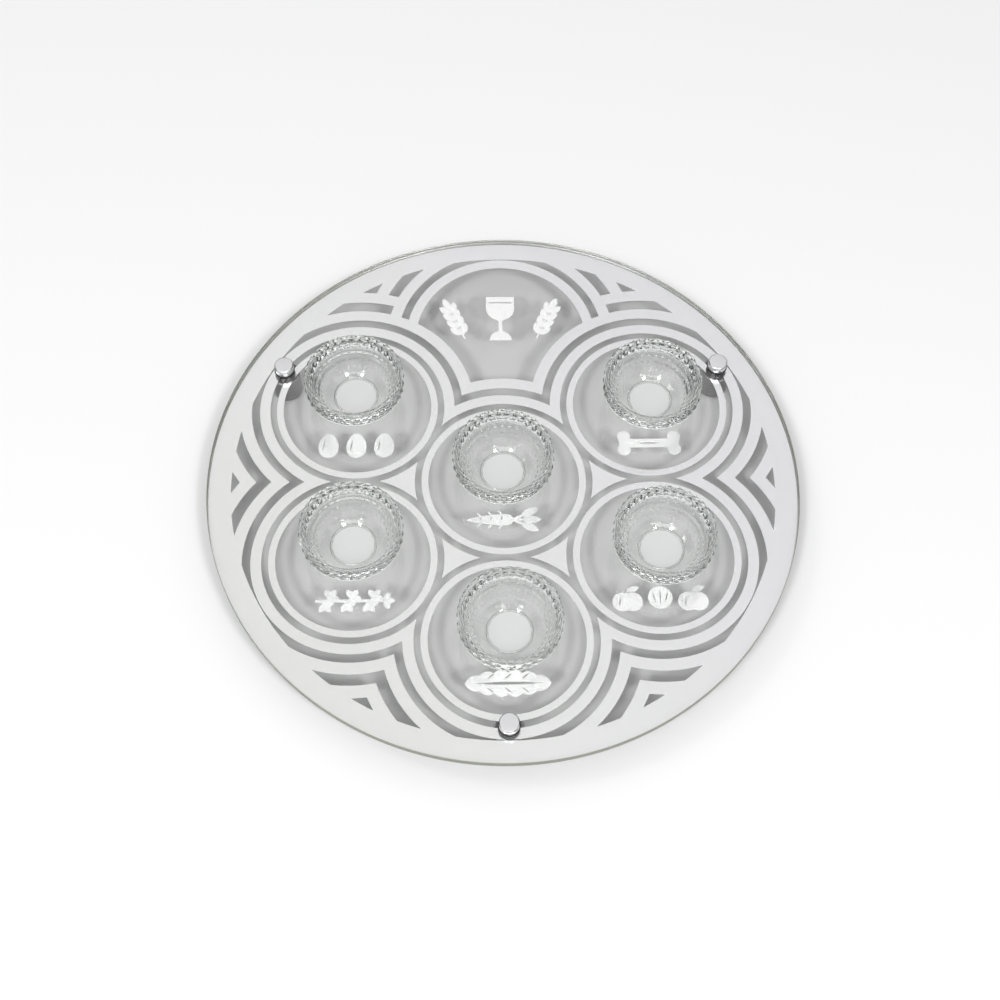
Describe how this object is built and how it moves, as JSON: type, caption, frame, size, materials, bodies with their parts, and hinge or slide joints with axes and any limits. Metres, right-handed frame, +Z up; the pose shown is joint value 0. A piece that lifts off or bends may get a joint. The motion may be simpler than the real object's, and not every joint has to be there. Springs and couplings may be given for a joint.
{
  "type": "seder plate",
  "caption": "Round glass seder plate on screwed metal legs, with a silver foil pattern of linked rings and loose cut-glass bowls.",
  "frame": {"origin": "centre of the plate, at the height of the surface that the feet stand on", "axes": "+Z up through the centre of the round plate, -Y towards the front leg, +X to the right seen from the front"},
  "size_m": [0.3999, 0.4, 0.06],
  "materials": {
    "plate_glass": "clear polished float glass, grey-green at the edge",
    "silver_foil": "satin silver foil under the glass",
    "white_foil": "bright white-silver foil under the glass",
    "satin_metal": "satin turned metal with bright bevels",
    "stud_steel": "plain threaded rod",
    "rubber": "matt black",
    "bowl_glass": "clear pressed glass with a cut belt"
  },
  "bodies": {
    "stand": {"glass_plate": "plate_glass", "rim_fret": "silver_foil", "round_band": "silver_foil", "ring_centre": "silver_foil", "ring_back_left": "silver_foil", "ring_front_left": "silver_foil", "ring_front": "silver_foil", "ring_front_right": "silver_foil", "ring_back_right": "silver_foil", "island_left": "silver_foil", "island_front_left": "silver_foil", "island_front_right": "silver_foil", "island_right": "silver_foil", "sign_root": "white_foil", "sign_eggs": "white_foil", "sign_parsley": "white_foil", "sign_lettuce": "white_foil", "sign_apples": "white_foil", "sign_bone": "white_foil", "sign_cup_wheat": "white_foil", "cap_back_left": "satin_metal", "cap_back_right": "satin_metal", "cap_front": "satin_metal", "upper_washer_back_left": "rubber", "upper_washer_back_right": "rubber", "upper_washer_front": "rubber", "stud_back_left": "stud_steel", "stud_back_right": "stud_steel", "stud_front": "stud_steel", "lower_washer_back_left": "rubber", "lower_washer_back_right": "rubber", "lower_washer_front": "rubber", "leg_back_left": "satin_metal", "leg_back_right": "satin_metal", "leg_front": "satin_metal", "foot_pad_back_left": "rubber", "foot_pad_back_right": "rubber", "foot_pad_front": "rubber"},
    "centre_bowl": {"bowl_centre": "bowl_glass"},
    "back_left_bowl": {"bowl_back_left": "bowl_glass"},
    "front_left_bowl": {"bowl_front_left": "bowl_glass"},
    "front_bowl": {"bowl_front": "bowl_glass"},
    "front_right_bowl": {"bowl_front_right": "bowl_glass"},
    "back_right_bowl": {"bowl_back_right": "bowl_glass"}
  },
  "joints": [
    {"name": "centre_bowl_lift", "type": "slide", "parent": "stand", "child": "centre_bowl", "axis": [0, 0, 1], "range_m": [0, 0.06]},
    {"name": "back_left_bowl_lift", "type": "slide", "parent": "stand", "child": "back_left_bowl", "axis": [0, 0, 1], "range_m": [0, 0.06]},
    {"name": "front_left_bowl_lift", "type": "slide", "parent": "stand", "child": "front_left_bowl", "axis": [0, 0, 1], "range_m": [0, 0.06]},
    {"name": "front_bowl_lift", "type": "slide", "parent": "stand", "child": "front_bowl", "axis": [0, 0, 1], "range_m": [0, 0.06]},
    {"name": "front_right_bowl_lift", "type": "slide", "parent": "stand", "child": "front_right_bowl", "axis": [0, 0, 1], "range_m": [0, 0.06]},
    {"name": "back_right_bowl_lift", "type": "slide", "parent": "stand", "child": "back_right_bowl", "axis": [0, 0, 1], "range_m": [0, 0.06]}
  ]
}
